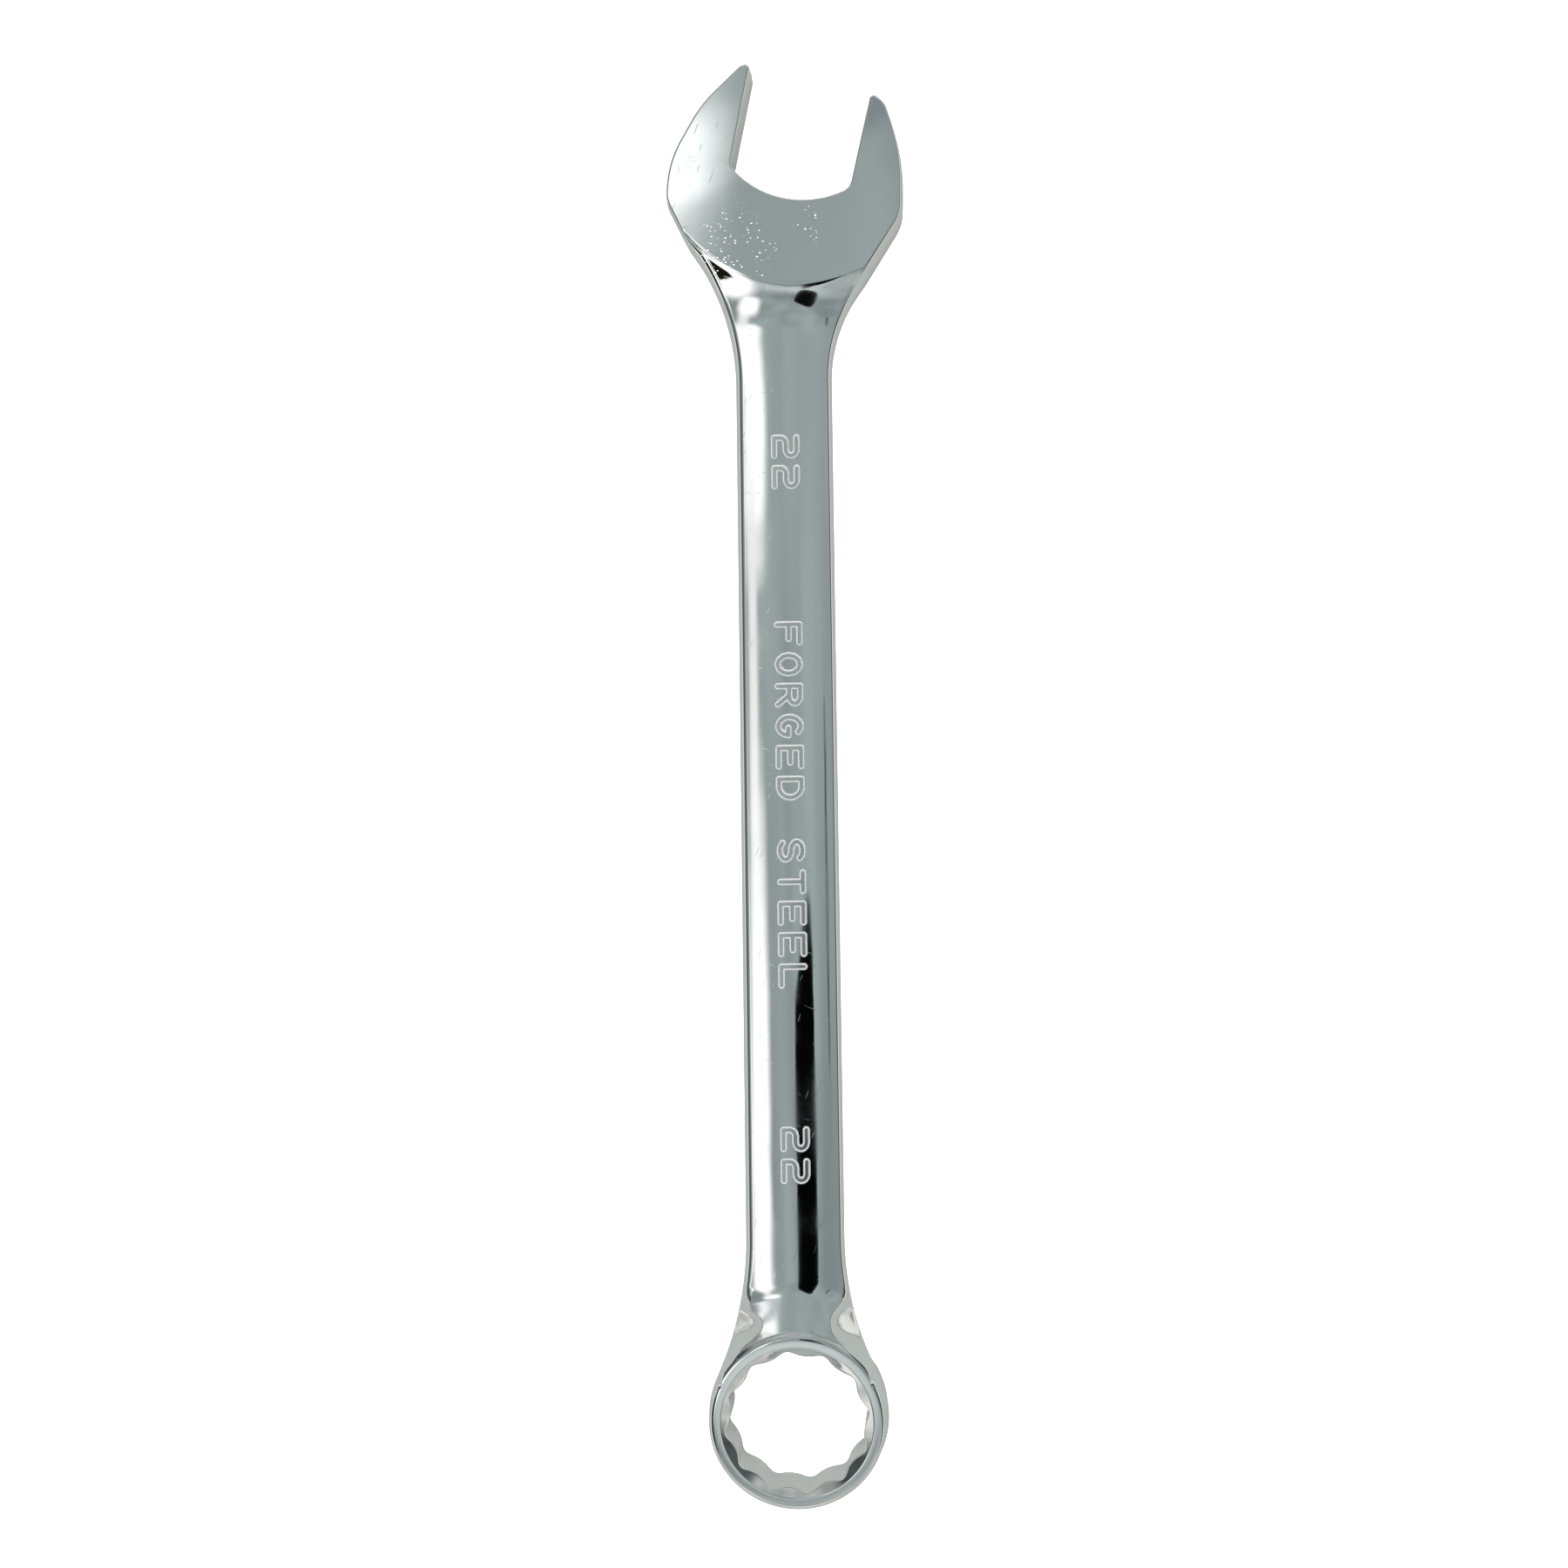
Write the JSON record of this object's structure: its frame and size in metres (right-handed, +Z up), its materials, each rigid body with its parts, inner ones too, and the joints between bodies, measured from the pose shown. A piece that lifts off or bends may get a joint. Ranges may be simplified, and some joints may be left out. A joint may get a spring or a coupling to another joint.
{
  "type": "combination wrench",
  "caption": "One-piece forged combination wrench with an open jaw at one end and a cranked twelve-point ring at the other.",
  "frame": {"origin": "on the floor under the middle of the bounding box, with the wrench resting on its jaw and the low side of its ring", "axes": "+X along the shank from the ring towards the open jaw; +Y towards the longer of the two jaws; +Z up, away from the floor"},
  "size_m": [0.2608, 0.0434, 0.0177],
  "materials": {
    "chrome_plate": "polished nickel-chrome plate over forged steel"
  },
  "bodies": {
    "root": {"forged_wrench": "chrome_plate"}
  },
  "joints": []
}
